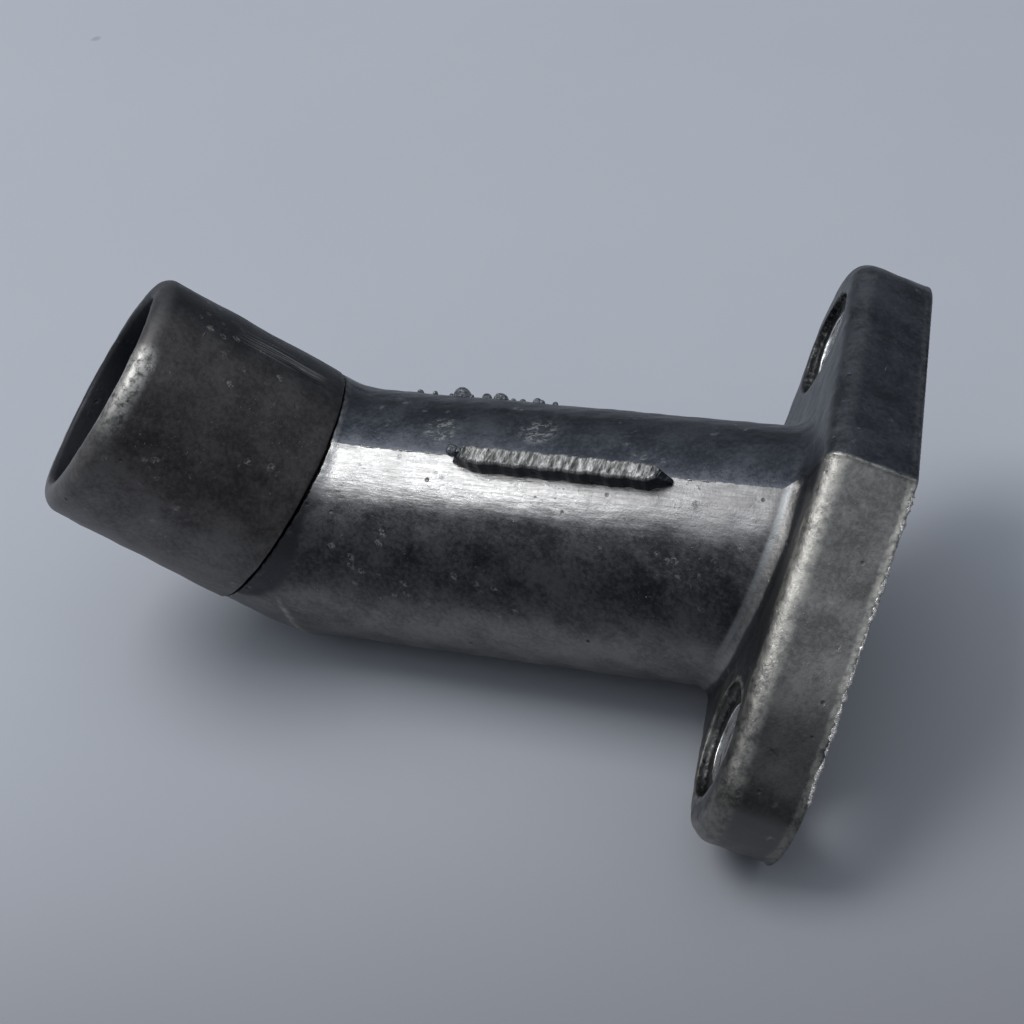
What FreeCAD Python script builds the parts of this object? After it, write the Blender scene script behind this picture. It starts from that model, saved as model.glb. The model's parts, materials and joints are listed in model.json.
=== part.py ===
import FreeCAD, Part
import math
import os
import Sketcher

# Inlet elbow: a slanted tube on a two-bolt flange, bent once, with a sleeve pressed over its end.
# Every piece is drawn in a working frame: the bore meets the mating face at the zero point, X leaves
# the flange towards the tube, Y points at the gate side and Z runs along the flange.
# At the end the pieces are laid down the way the part rests on a table, with +Z up.

os.makedirs("parts", exist_ok=True)
doc = FreeCAD.newDocument("inlet_elbow")

# ---- sizes, in millimetres and degrees ----
SIZES = [
    ("flange_thick", 7.4),
    ("flange_half_len", 28.7),
    ("flange_half_wid", 15.3),
    ("flange_end_rad", 6.5),
    ("flange_shift", 1.0),
    ("flange_edge_rad", 1.2),
    ("bolt_spacing", 40.6),
    ("bolt_hole_dia", 6.4),
    ("spot_face_dia", 9.6),
    ("spot_face_depth", 0.8),
    ("tube_slant", 28.5),
    ("tube_len", 42.1),
    ("tube_rad_flange", 11.9),
    ("tube_rad_elbow", 11.8),
    ("tube_root_rad", 1.0),
    ("elbow_bend", 45.0),
    ("passage_rad", 9.2),
    ("mouth_rad", 9.5),
    ("seam_at", 5.3),
    ("spigot_len", 24.3),
    ("spigot_rad", 12.0),
    ("lip_rad", 1.5),
    ("lip_in_rad", 0.5),
    ("register_rad", 10.8),
    ("register_len", 4.0),
    ("register_gap", 0.15),
    ("seam_edge", 0.2),
    ("gate_start", 5.0),
    ("gate_len", 20.0),
    ("gate_wid", 2.4),
    ("gate_proud", 1.6),
    ("gate_slope", 1.4),
    ("gate_shoulder", 1.1),
    ("gate_sunk", 1.0),
]
sheet = doc.addObject("Spreadsheet::Sheet", "sizes")
for row, (name, value) in enumerate(SIZES, start=1):
    sheet.set("A%d" % row, name)
    sheet.set("B%d" % row, str(value))
    sheet.setAlias("B%d" % row, name)
doc.recompute()
V = FreeCAD.Vector


def size(name):
    return float(sheet.get(name))


def bind(obj, prop, text):
    """Tie one property to the sheet: names in the text are aliases of the sheet."""
    for name, _ in SIZES:
        text = text.replace("{" + name + "}", "sizes." + name)
    obj.setExpression(prop, text)


def along(point, direction):
    """Placement that turns a primitive's own Z axis along a direction, starting at a point."""
    return FreeCAD.Placement(point, FreeCAD.Rotation(V(0, 0, 1), direction))


def cylinder(name, radius, height, place):
    """Cylinder whose radius follows the sheet; its height follows it too, or is a plain number."""
    obj = doc.addObject("Part::Cylinder", name)
    bind(obj, "Radius", radius)
    if isinstance(height, str):
        bind(obj, "Height", height)
    else:
        obj.Height = height
    obj.Placement = place
    return obj


def sphere(name, radius, point):
    obj = doc.addObject("Part::Sphere", name)
    bind(obj, "Radius", radius)
    obj.Placement = FreeCAD.Placement(point, FreeCAD.Rotation())
    return obj


def fuse(name, shapes):
    obj = doc.addObject("Part::MultiFuse", name)
    obj.Shapes = shapes
    obj.Refine = True
    return obj


def cut(name, base, tool):
    obj = doc.addObject("Part::Cut", name)
    obj.Base = base
    obj.Tool = tool
    obj.Refine = True
    return obj


def origin_plane(body, role):
    return [f for f in body.Origin.OriginFeatures if f.Role == role][0]


def sketch_on(body, role, name):
    sk = body.newObject("Sketcher::SketchObject", name)
    sk.AttachmentSupport = [(origin_plane(body, role), "")]
    sk.MapMode = "FlatFace"
    return sk


def chain(sk, pieces):
    """Closed outline from lines (two points) and arcs (three points), joined end to end."""
    for points in pieces:
        p = [V(x, y, 0) for x, y in points]
        shape = Part.LineSegment(*p) if len(p) == 2 else Part.Arc(*p)
        sk.addGeometry(shape, False)


# ---- centre line: out of the flange on a slant, then back through the bend ----
slant = math.radians(size("tube_slant"))
turn_back = math.radians(size("elbow_bend") - size("tube_slant"))
tube_dir = V(math.cos(slant), -math.sin(slant), 0)
spigot_dir = V(math.cos(turn_back), math.sin(turn_back), 0)
flange_run = size("flange_thick") / math.cos(slant)
top_of_flange = tube_dir * flange_run
bend_point = top_of_flange + tube_dir * size("tube_len")
seam_point = bend_point + spigot_dir * size("seam_at")

# ---- flange plate: rhombus with round ends, padded, edge rounded, two spot-faced holes ----
half_wid = size("flange_half_wid")
shift = size("flange_shift")
thick = size("flange_thick")


def rhombus(sk):
    """Rhombus with round ends, drawn on the flange's plane. Returns where side and end arc meet."""
    end_rad = size("flange_end_rad")
    reach = size("flange_half_len") - end_rad
    span = math.hypot(half_wid, reach)
    heading = math.atan2(reach, -half_wid) - math.asin(end_rad / span)
    run = math.sqrt(span * span - end_rad * end_rad)
    ty = half_wid + run * math.cos(heading)
    tz = run * math.sin(heading)
    tip = size("flange_half_len")
    chain(sk, [
        [(half_wid, shift), (ty, shift + tz)],
        [(ty, shift + tz), (0, shift + tip), (-ty, shift + tz)],
        [(-ty, shift + tz), (-half_wid, shift)],
        [(-half_wid, shift), (-ty, shift - tz)],
        [(-ty, shift - tz), (0, shift - tip), (ty, shift - tz)],
        [(ty, shift - tz), (half_wid, shift)],
    ])
    return ty, tz


plate = doc.addObject("PartDesign::Body", "flange_plate")
doc.recompute()
outline = sketch_on(plate, "YZ_Plane", "flange_outline")
tan_y, tan_z = rhombus(outline)
pad = plate.newObject("PartDesign::Pad", "flange_pad")
pad.Profile = outline
bind(pad, "Length", "{flange_thick}")
doc.recompute()
top_edges = []
for i, edge in enumerate(pad.Shape.Edges, start=1):
    if all(abs(v.Point.x - thick) < 1e-6 for v in edge.Vertexes):
        top_edges.append("Edge%d" % i)
rounding = plate.newObject("PartDesign::Fillet", "flange_edge")
rounding.Base = (pad, top_edges)
bind(rounding, "Radius", "{flange_edge_rad}")
doc.recompute()

# ---- tube, elbow ball, stub and register, all solid for now ----
grow = (size("tube_rad_elbow") - size("tube_rad_flange")) / size("tube_len")
run_back = size("tube_rad_flange")
tube = doc.addObject("Part::Cone", "tube_solid")
tube_start = -tube_dir * run_back
tube_foot = size("tube_rad_flange") - grow * (flange_run + run_back)
bind(tube, "Radius2", "{tube_rad_elbow}")
tube.Radius1 = tube_foot
tube.Height = run_back + flange_run + size("tube_len")
tube.Placement = along(tube_start, tube_dir)
ball = sphere("elbow_ball", "{tube_rad_elbow}", bend_point)
stub = cylinder("elbow_stub", "{tube_rad_elbow}", "{seam_at}", along(bend_point, spigot_dir))
register = cylinder("register", "{register_rad}", "{seam_at} + {register_len}",
                    along(bend_point, spigot_dir))

# ---- gate stub on the tube's seam side: a trapezoid, padded both ways ----
gate = doc.addObject("PartDesign::Body", "gate_stub")
doc.recompute()
gate_sketch = sketch_on(gate, "XY_Plane", "gate_profile")
foot = size("tube_rad_flange") - size("gate_sunk")
crest = size("tube_rad_flange") + grow * size("gate_start") + size("gate_proud")
g0 = size("gate_start")
g1 = g0 + size("gate_len")
slope = size("gate_slope")
shoulder = crest - size("gate_shoulder")
chain(gate_sketch, [
    [(g0, foot), (g1, foot)],
    [(g1, foot), (g1, shoulder)],
    [(g1, shoulder), (g1 - slope, crest)],
    [(g1 - slope, crest), (g0 + slope, crest)],
    [(g0 + slope, crest), (g0, shoulder)],
    [(g0, shoulder), (g0, foot)],
])
gate_pad = gate.newObject("PartDesign::Pad", "gate_pad")
gate_pad.Profile = gate_sketch
gate_pad.SideType = "Symmetric"
bind(gate_pad, "Length", "{gate_wid}")
gate.Placement = FreeCAD.Placement(top_of_flange, FreeCAD.Rotation(V(0, 0, 1), -size("tube_slant")))
doc.recompute()

# ---- flange and tube: joined, trimmed flush with the mating face, root rounded ----
behind = doc.addObject("Part::Box", "behind_mating_face")
clear = 4 * size("flange_half_len")
behind.Length = clear
behind.Width = 2 * clear
behind.Height = 2 * clear
behind.Placement = FreeCAD.Placement(V(-clear, -clear, -clear), FreeCAD.Rotation())
flanged_tube = cut("flanged_tube", fuse("plate_and_tube", [plate, tube]), behind)
doc.recompute()


def is_root(edge):
    """True for a curve where the tube's skin meets the flange's flat top."""
    middle = edge.valueAt((edge.FirstParameter + edge.LastParameter) / 2)
    off_axis = (middle - tube_dir * middle.dot(tube_dir)).Length
    near_skin = abs(off_axis - size("tube_rad_flange")) < size("bolt_hole_dia") / 10
    return near_skin and abs(middle.x - thick) < 1e-4


root_edges = [i for i, e in enumerate(flanged_tube.Shape.Edges, start=1) if is_root(e)]
root_rad = size("tube_root_rad")
rooted = doc.addObject("Part::Fillet", "rooted_tube")
rooted.Base = flanged_tube
rooted.Edges = [(i, root_rad, root_rad) for i in root_edges]
doc.recompute()

# ---- one solid casting: add the elbow and the gate, then open the bore and the bolt holes ----
# The inner side of the bend would carry the tube on past the seam, into the sleeve, so everything
# past the seam is cleared before the register goes on. The clearing is half as wide again as the
# sleeve, so that it leaves no rim outside it.
skin = fuse("casting_skin", [rooted, ball, stub, gate])
sleeve_room = cylinder("sleeve_room", "{spigot_rad} * 1.5", "{spigot_len}",
                       along(seam_point, spigot_dir))
lump = fuse("casting_lump", [cut("skin_to_seam", skin, sleeve_room), register])
bore_in = cylinder("bore_of_tube", "{passage_rad}", run_back + flange_run + size("tube_len"),
                   along(-tube_dir * run_back, tube_dir))
bore_ball = sphere("bore_ball", "{passage_rad}", bend_point)
bore_out = cylinder("bore_of_stub", "{passage_rad}", "{seam_at} + {register_len} * 2",
                    along(bend_point, spigot_dir))
openings = [bore_in, bore_ball, bore_out]
for end, label in ((-1, "low"), (1, "high")):
    centre = shift + end * size("bolt_spacing") / 2
    hole = cylinder("bolt_hole_" + label, "{bolt_hole_dia} / 2", "{flange_thick} * 3",
                    along(V(-thick, 0, centre), V(1, 0, 0)))
    face = cylinder("spot_face_" + label, "{spot_face_dia} / 2", "{flange_thick}",
                    along(V(thick - size("spot_face_depth"), 0, centre), V(1, 0, 0)))
    openings += [hole, face]
casting = cut("body_casting", lump, fuse("opening_tools", openings))
casting.Label = "body_casting"
doc.recompute()

# ---- spigot sleeve: one turned profile with a socket at the seam and a rounded lip ----
sleeve = doc.addObject("PartDesign::Body", "spigot_sleeve")
sleeve.Label = "spigot_sleeve"
doc.recompute()
profile = sketch_on(sleeve, "XY_Plane", "sleeve_profile")
length = size("spigot_len") - size("seam_at")
outer = size("spigot_rad")
inner = size("mouth_rad")
socket = size("register_rad")
deep = size("register_len") + size("register_gap")
edge_cut = size("seam_edge")
lip = size("lip_rad")
lip_in = size("lip_in_rad")
bow = 1 - math.sqrt(0.5)
chain(profile, [
    [(0, socket), (0, outer - edge_cut)],
    [(0, outer - edge_cut), (edge_cut, outer)],
    [(edge_cut, outer), (length - lip, outer)],
    [(length - lip, outer), (length - lip * bow, outer - lip * bow), (length, outer - lip)],
    [(length, outer - lip), (length, inner + lip_in)],
    [(length, inner + lip_in), (length - lip_in * bow, inner + lip_in * bow), (length - lip_in, inner)],
    [(length - lip_in, inner), (deep, inner)],
    [(deep, inner), (deep, socket)],
    [(deep, socket), (0, socket)],
])
turned = sleeve.newObject("PartDesign::Revolution", "sleeve_turned")
turned.Profile = profile
turned.ReferenceAxis = (profile, ["H_Axis"])
turned.Angle = 360
doc.recompute()

# ---- lay the part down: the mating face's lower edge and the elbow ball touch the table ----
edge_dir = V(0, half_wid - tan_y, -tan_z)
edge_dir.normalize()
corner = V(0, -half_wid, shift)
to_ball = bend_point - corner
to_ball = to_ball - edge_dir * to_ball.dot(edge_dir)
lean = math.acos(size("tube_rad_elbow") / to_ball.Length)
up = FreeCAD.Rotation(edge_dir, math.degrees(lean)).multVec(to_ball)
up.normalize()
other = FreeCAD.Rotation(edge_dir, -math.degrees(lean)).multVec(to_ball)
other.normalize()
if other.y > up.y:
    up = other
ahead = up * tube_dir.dot(up) - tube_dir
ahead.normalize()
side = up.cross(ahead)
turn = FreeCAD.Matrix(ahead.x, ahead.y, ahead.z, 0, side.x, side.y, side.z, 0,
                      up.x, up.y, up.z, 0, 0, 0, 0, 1)
lay = FreeCAD.Placement(turn)
sleeve_place = FreeCAD.Placement(seam_point, FreeCAD.Rotation(V(0, 0, 1), math.degrees(turn_back)))
casting.Placement = lay
sleeve.Placement = lay.multiply(sleeve_place)
doc.recompute()
box = casting.Shape.optimalBoundingBox(False, False)
box.add(sleeve.Shape.optimalBoundingBox(False, False))
drop = V(-(box.XMin + box.XMax) / 2, -(box.YMin + box.YMax) / 2, -box.ZMin)
lay = FreeCAD.Placement(drop, FreeCAD.Rotation()).multiply(lay)
casting.Placement = lay
sleeve.Placement = lay.multiply(sleeve_place)
doc.recompute()

# ---- check every object, then write the pieces ----
for obj in doc.Objects:
    if "Invalid" in obj.State or "Error" in obj.State:
        raise RuntimeError("%s did not build: %s" % (obj.Name, obj.State))
for piece in (casting, sleeve):
    shape = piece.Shape
    if shape.isNull() or not shape.isValid() or len(shape.Solids) != 1:
        raise RuntimeError("%s is not one valid solid" % piece.Label)
    shape.exportStep("parts/%s.step" % piece.Label)
    print(piece.Label, "solid volume", round(shape.Volume, 1), "mm3")
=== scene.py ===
# %% [markdown]
# # An inlet elbow in cast light alloy
# This lesson dresses a small carburettor inlet elbow: a thick two-bolt flange, a slanted tube and a
# turned spigot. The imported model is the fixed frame, so everything starts from its numbers.

# %% Load the frame
import json
import math
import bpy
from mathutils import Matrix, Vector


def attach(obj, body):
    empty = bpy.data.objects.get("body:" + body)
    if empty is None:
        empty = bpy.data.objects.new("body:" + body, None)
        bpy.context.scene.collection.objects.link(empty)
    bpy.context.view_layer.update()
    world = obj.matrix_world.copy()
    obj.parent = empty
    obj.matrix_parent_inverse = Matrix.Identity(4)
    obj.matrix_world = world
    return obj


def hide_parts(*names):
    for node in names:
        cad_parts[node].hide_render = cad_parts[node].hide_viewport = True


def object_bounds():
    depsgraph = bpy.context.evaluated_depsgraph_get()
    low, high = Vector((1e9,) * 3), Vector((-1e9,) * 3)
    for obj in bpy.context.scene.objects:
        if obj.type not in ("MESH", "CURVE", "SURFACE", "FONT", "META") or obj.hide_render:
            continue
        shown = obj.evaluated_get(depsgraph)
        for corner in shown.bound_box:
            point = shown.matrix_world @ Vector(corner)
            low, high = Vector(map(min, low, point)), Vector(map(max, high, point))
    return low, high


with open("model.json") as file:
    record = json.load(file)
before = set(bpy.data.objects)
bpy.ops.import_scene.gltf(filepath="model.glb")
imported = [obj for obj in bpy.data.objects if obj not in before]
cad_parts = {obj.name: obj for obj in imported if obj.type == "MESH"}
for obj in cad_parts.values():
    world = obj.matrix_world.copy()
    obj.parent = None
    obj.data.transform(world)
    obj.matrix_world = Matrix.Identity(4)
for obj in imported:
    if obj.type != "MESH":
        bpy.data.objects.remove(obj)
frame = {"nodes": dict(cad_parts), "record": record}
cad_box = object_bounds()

from types import SimpleNamespace
import bmesh
import bpy
import numpy as np
import openvdb
from mathutils import Matrix, Vector

print("frame box", [tuple(round(c, 4) for c in corner) for corner in cad_box])

# %% [markdown]
# ## A maker's own axes
# The part lies on a table at an odd lean, which is awkward to model in. So we find the axes that its
# maker would use: X out of the flange, Y towards the gate side, Z along the flange, zero where the
# passage meets the mating face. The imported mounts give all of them, and every length below is in
# millimetres along these axes until the last step turns it back into the frame.

# %% Find the maker's axes from the mounts
MM = 0.001
mounts = {m["name"]: m for m in frame["record"]["mounts"]}


def place_of(name):
    return np.array(mounts[name]["pos_m"], float) / MM


def axis_of(name):
    a = np.array(mounts[name]["axis"], float)
    return a / np.linalg.norm(a)


x_dir = -axis_of("mating_face")
tube_row = -axis_of("inlet_port")
spigot_row = axis_of("spigot_mouth")
z_dir = np.cross(tube_row, spigot_row)
z_dir /= np.linalg.norm(z_dir)
y_dir = np.cross(z_dir, x_dir)
AXES = np.array([x_dir, y_dir, z_dir])
flange_thick = 2 * float((place_of("flange_bolts") - place_of("mating_face")) @ x_dir)
port = place_of("inlet_port")
depth = float((port - place_of("mating_face")) @ x_dir)
zero = port - tube_row * depth / float(tube_row @ x_dir)
print("flange thickness %.2f mm, maker's zero at %s mm" % (flange_thick, zero.round(2)))

# %% Turn points between the maker's axes and the frame
def to_maker(points_mm):
    return (np.asarray(points_mm, float) - zero) @ AXES.T


def to_frame(points_mm):
    """Maker's millimetres to the frame's metres."""
    return (np.asarray(points_mm, float) @ AXES + zero) * MM


maker_to_frame = Matrix.Identity(4)
for row in range(3):
    for col in range(3):
        maker_to_frame[row][col] = float(AXES[col][row]) * MM
    maker_to_frame[row][3] = float(zero[row]) * MM

# %% Measure the tube, the bend and the sleeve on the frame
tube_dir = AXES @ tube_row
spigot_dir = AXES @ spigot_row
tube_side = np.array([-tube_dir[1], tube_dir[0], 0.0])
spigot_side = np.array([-spigot_dir[1], spigot_dir[0], 0.0])
mouth_point = to_maker(place_of("spigot_mouth"))
# the two centre lines cross at the bend
run, _ = np.linalg.solve(np.array([tube_dir[:2], -spigot_dir[:2]]).T, mouth_point[:2])
bend = tube_dir * run
sleeve_verts = np.array([v.co for v in frame["nodes"]["spigot_sleeve"].data.vertices], float)
sleeve_along = (to_maker(sleeve_verts / MM) - bend) @ spigot_dir
seam_at, rim_at = float(sleeve_along.min()), float(sleeve_along.max())
bolt_radius = mounts["flange_bolts"]["dims"]["hole_r_mm"]
bolt_reach = mounts["flange_bolts"]["dims"]["pcd_mm"] / 2
flange_shift = float(to_maker(place_of("flange_bolts"))[2])
passage_radius = mounts["inlet_port"]["dims"]["r_mm"]
mouth_radius = mounts["spigot_mouth"]["dims"]["r_mm"]
spigot_radius = mounts["spigot_outside"]["dims"]["r_mm"]
flange_top_run = flange_thick / float(tube_dir[0])
print("bend at %.1f mm along the tube, seam %.2f and rim %.2f mm past it" % (run, seam_at, rim_at))

# %% [markdown]
# ## The casting as a field of distances
# The casting is one lump: plate, tube, ball-shaped elbow and a short stub, with soft fillets where
# they meet. Polygons joined by hand would leave seams at every fillet. Instead we fill a block of
# space with each point's distance to the metal, where joining is a minimum and a fillet is a rounded
# minimum, and then skin the zero surface once.

# %% Small tools for distance fields
def join(a, b):
    return np.minimum(a, b)


def carve(a, b):
    return np.maximum(a, -b)


def join_filleted(a, b, radius):
    """Union of two fields with a round fillet in the corner between them."""
    u = np.maximum(radius - a, 0)
    v = np.maximum(radius - b, 0)
    return np.maximum(radius, np.minimum(a, b)) - np.sqrt(u * u + v * v)


def meet_rounded(a, b, radius):
    """Intersection of two fields with a rounded edge between them."""
    u = np.maximum(a + radius, 0)
    v = np.maximum(b + radius, 0)
    return np.minimum(-radius, np.maximum(a, b)) + np.sqrt(u * u + v * v)


# %% Sizes of the casting, in millimetres
VOXEL = 0.25
FLANGE_HALF_LENGTH = 28.7
FLANGE_HALF_WIDTH = 15.3
FLANGE_END_RADIUS = 6.5
FLANGE_EDGE_ROUND = 1.9
FLANGE_CROWN = 0.45
FLANGE_DRAFT_DEG = 1.2
TUBE_RADIUS_AT_FLANGE = 11.9
TUBE_RADIUS_AT_ELBOW = 11.9
ROOT_FILLET = 1.1
CREASE_FILLET = 0.7
REGISTER_RADIUS = 10.75
REGISTER_LENGTH = 4.0
SPOT_FACE_RADIUS = 4.8
SPOT_FACE_DEPTH = 0.8
MATING_EDGE_ROUND = 0.2
SEAM_GAP = 0.04
DRAFT = math.radians(FLANGE_DRAFT_DEG)


def flange_sides():
    """How far out the round ends have their centres, and how far the straight sides lean."""
    reach = FLANGE_HALF_LENGTH - FLANGE_END_RADIUS
    span = math.hypot(FLANGE_HALF_WIDTH, reach)
    lean = math.atan2(FLANGE_HALF_WIDTH, reach) - math.asin(FLANGE_END_RADIUS / span)
    return reach, lean


def flange_outline(y, z):
    """Distance to the rhombus with round ends, in the flange's own plane."""
    half_y = np.abs(y)
    half_z = np.abs(z - flange_shift)
    reach, lean = flange_sides()
    across, along = math.cos(lean), math.sin(lean)
    side = (half_y - FLANGE_HALF_WIDTH) * across + half_z * along
    end = np.sqrt(half_y ** 2 + (half_z - reach) ** 2) - FLANGE_END_RADIUS
    past_tangent = (half_z - reach) * across - half_y * along > 0
    return np.where(past_tangent, end, side)


# %% Fill the block of space
def casting_field(x, y, z):
    s = x * tube_dir[0] + y * tube_dir[1]
    q = x * tube_side[0] + y * tube_side[1]
    off_axis = np.sqrt(q * q + z * z)
    grow = (TUBE_RADIUS_AT_ELBOW - TUBE_RADIUS_AT_FLANGE) / (run - flange_top_run)
    tube = np.maximum(off_axis - TUBE_RADIUS_AT_FLANGE - grow * (s - flange_top_run), s - run)
    bx, by = x - bend[0], y - bend[1]
    to_bend = np.sqrt(bx * bx + by * by + z * z)
    s2 = bx * spigot_dir[0] + by * spigot_dir[1]
    q2 = bx * spigot_side[0] + by * spigot_side[1]
    off_stub = np.sqrt(q2 * q2 + z * z)
    past_seam = s2 - seam_at + SEAM_GAP
    stub = np.maximum(off_stub - TUBE_RADIUS_AT_ELBOW, np.maximum(-s2, past_seam))
    stub = join(stub, to_bend - TUBE_RADIUS_AT_ELBOW)
    lump = join_filleted(tube, stub, CREASE_FILLET)
    # the plate is thickest in the middle and thins towards its ends, so it leaves the die
    top = flange_thick + FLANGE_CROWN - np.abs(z - flange_shift) * math.tan(DRAFT)
    plate = meet_rounded(flange_outline(y, z), x - top, FLANGE_EDGE_ROUND)
    lump = join_filleted(plate, lump, ROOT_FILLET)
    lump = meet_rounded(lump, -x, MATING_EDGE_ROUND)
    # nothing but the register goes past the seam
    lump = np.maximum(lump, past_seam)
    register_end = seam_at + REGISTER_LENGTH
    lump = join(lump, np.maximum(off_stub - REGISTER_RADIUS, np.maximum(-s2, s2 - register_end)))
    hollow = np.maximum(off_axis - passage_radius, s - run)
    hollow = join(hollow, to_bend - passage_radius)
    hollow = join(hollow, np.maximum(off_stub - passage_radius, -s2))
    lump = carve(lump, hollow)
    for end in (-1, 1):
        from_bolt = np.sqrt(y * y + (z - flange_shift - end * bolt_reach) ** 2)
        pocket = np.maximum(from_bolt - SPOT_FACE_RADIUS, flange_thick - SPOT_FACE_DEPTH - x)
        lump = carve(lump, pocket)
        lump = carve(lump, from_bolt - bolt_radius + 0 * x)
    return lump


BLOCK_LOW = np.array([-1.0, -38.0, -29.0])
BLOCK_HIGH = np.array([58.0, 16.5, 31.0])
BAND_VOXELS = 3


def skin_field(field, low):
    """Quads over the zero surface of a block of distances, corners in millimetres."""
    band = BAND_VOXELS * VOXEL
    grid = openvdb.FloatGrid(band)
    grid.copyFromArray(np.clip(field, -band, band).astype(np.float32))
    points, quads = grid.convertToQuads(0.0)
    return points.astype(float) * VOXEL + low, quads


steps = [np.arange(start, end, VOXEL) for start, end in zip(BLOCK_LOW, BLOCK_HIGH)]
field = casting_field(steps[0][:, None, None], steps[1][None, :, None], steps[2][None, None, :])
casting_points, casting_quads = skin_field(field, BLOCK_LOW)
del field
print("casting skin:", len(casting_points), "corners,", len(casting_quads), "quads")

# %% Normals and wear of a skin, found from its own shape
def skin_normals(points, quads):
    p = points[quads]
    face = np.cross(p[:, 2] - p[:, 0], p[:, 3] - p[:, 1])
    out = np.zeros_like(points)
    for corner in range(4):
        for k in range(3):
            out[:, k] += np.bincount(quads[:, corner], face[:, k], len(points))
    return out / np.maximum(np.linalg.norm(out, axis=1, keepdims=True), 1e-12)


def neighbours_mean(values, quads, count):
    total = np.zeros((count,) + values.shape[1:])
    hits = np.zeros(count)
    for a, b in ((0, 1), (1, 2), (2, 3), (3, 0)):
        for i, j in ((a, b), (b, a)):
            hits += np.bincount(quads[:, i], minlength=count)
            if values.ndim == 1:
                total += np.bincount(quads[:, i], values[quads[:, j]], count)
            else:
                for k in range(values.shape[1]):
                    total[:, k] += np.bincount(quads[:, i], values[quads[:, j], k], count)
    return total / (hits if values.ndim == 1 else hits[:, None])


WORN_BULGE = 0.012
WEAR_SPREAD = 3

if (casting_points[:, 0] * skin_normals(casting_points, casting_quads)[:, 0]).sum() < 0:
    casting_quads = casting_quads[:, ::-1]
normals = skin_normals(casting_points, casting_quads)
bulge = ((casting_points - neighbours_mean(casting_points, casting_quads, len(casting_points)))
         * normals).sum(axis=1)
for _ in range(WEAR_SPREAD):
    bulge = neighbours_mean(bulge, casting_quads, len(casting_points))
edge_wear = np.clip(bulge / WORN_BULGE, 0, 1)
print("worn edges on %.1f %% of the corners" % (100 * (edge_wear > 0.5).mean()))

# %% [markdown]
# ## An uneven skin
# A die-cast skin is never quite true: it sinks a little between ribs, the two halves of the die miss
# each other by a hair along the parting plane, and handling leaves dents. Waves added along the
# normals give the first, one small step the second and a few soft hollows the third.

# %% Waves, the mismatch step and dents
rng = np.random.default_rng(11)


def waves(points, length, count=9):
    """Smooth random height between about -1 and 1, with a typical wave length in millimetres."""
    total = np.zeros(len(points))
    for _ in range(count):
        way = rng.normal(size=3)
        way *= 2 * math.pi / (length * rng.uniform(0.7, 1.5) * np.linalg.norm(way))
        total += np.sin(points @ way + rng.uniform(0, 2 * math.pi))
    return total / math.sqrt(count)


def dent(points, centre, radius, depth):
    far = np.linalg.norm(points - centre, axis=1) / radius
    return -depth * np.exp(-far * far * 2)


MISMATCH = 0.12
SUNK = 0.03
WAVES = ((0.045, 9.0), (0.018, 2.6), (0.008, 1.1))
DENTS = 46
DENT_RADII = (0.4, 1.1)
DENT_DEPTHS = (0.02, 0.09)
FLANGE_BLEND_END = 9.0
FLANGE_BLEND = 1.4

off_tube = np.hypot(casting_points @ tube_side, casting_points[:, 2])
outside = (off_tube > passage_radius + 1.0) & (casting_points[:, 0] > 0.3)
lift = sum(height * waves(casting_points, length) for height, length in WAVES)
# the parting line lies a little off the flange's middle, and on the middle of the tube
on_plate = np.clip((FLANGE_BLEND_END - casting_points[:, 0]) / FLANGE_BLEND, 0, 1)
over_line = casting_points[:, 2] - flange_shift * on_plate
lift -= MISMATCH * np.clip(-over_line / VOXEL, 0, 1)
for _ in range(DENTS):
    spot = casting_points[rng.integers(len(casting_points))]
    lift += dent(casting_points, spot, rng.uniform(*DENT_RADII), rng.uniform(*DENT_DEPTHS))
casting_points = casting_points + normals * np.where(outside, lift - SUNK, 0.0)[:, None]
print("skin moved by up to %.2f mm" % np.abs(lift[outside]).max())

# %% Make a mesh piece from the maker's numbers
box_low, box_high = np.array(cad_box[0]), np.array(cad_box[1])


def mesh_of(name, points_mm, faces):
    """Mesh in the frame's metres, kept inside the frame's box."""
    mesh = bpy.data.meshes.new(name)
    rows = np.clip(to_frame(points_mm), box_low, box_high)
    mesh.from_pydata(rows.tolist(), [], np.asarray(faces).tolist())
    mesh.validate()
    mesh.shade_smooth()
    return mesh


def show(name, mesh):
    obj = bpy.data.objects.new(name, mesh)
    bpy.context.scene.collection.objects.link(obj)
    return obj


def add_mask(mesh, name, values):
    mask = mesh.attributes.new(name, "FLOAT", "POINT")
    mask.data.foreach_set("value", np.asarray(values, np.float32))


casting_mesh = mesh_of("cast_elbow", casting_points, casting_quads)
add_mask(casting_mesh, "edge_wear", edge_wear)
cast_elbow = show("cast_elbow", casting_mesh)
TRIANGLES_ALLOWED = 190000
triangles = 2 * len(casting_quads)
if triangles > TRIANGLES_ALLOWED:
    thin = cast_elbow.modifiers.new("thin_flats", "DECIMATE")
    thin.ratio = TRIANGLES_ALLOWED / triangles
    thinned = bpy.data.meshes.new_from_object(
        cast_elbow.evaluated_get(bpy.context.evaluated_depsgraph_get()))
    cast_elbow.modifiers.clear()
    cast_elbow.data = thinned
    thinned.name = "cast_elbow"
    thinned.shade_smooth()
print("cast_elbow: %d faces" % len(cast_elbow.data.polygons))

# %% [markdown]
# ## Geometry Nodes for what turns, repeats or follows an edge
# The sleeve is one outline turned around an axis, the pips repeat along the tube and the burr
# follows the flange's edge. Each is a small tree with its sizes as named inputs. These helpers build
# a tree, run it once and keep the plain mesh.

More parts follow.
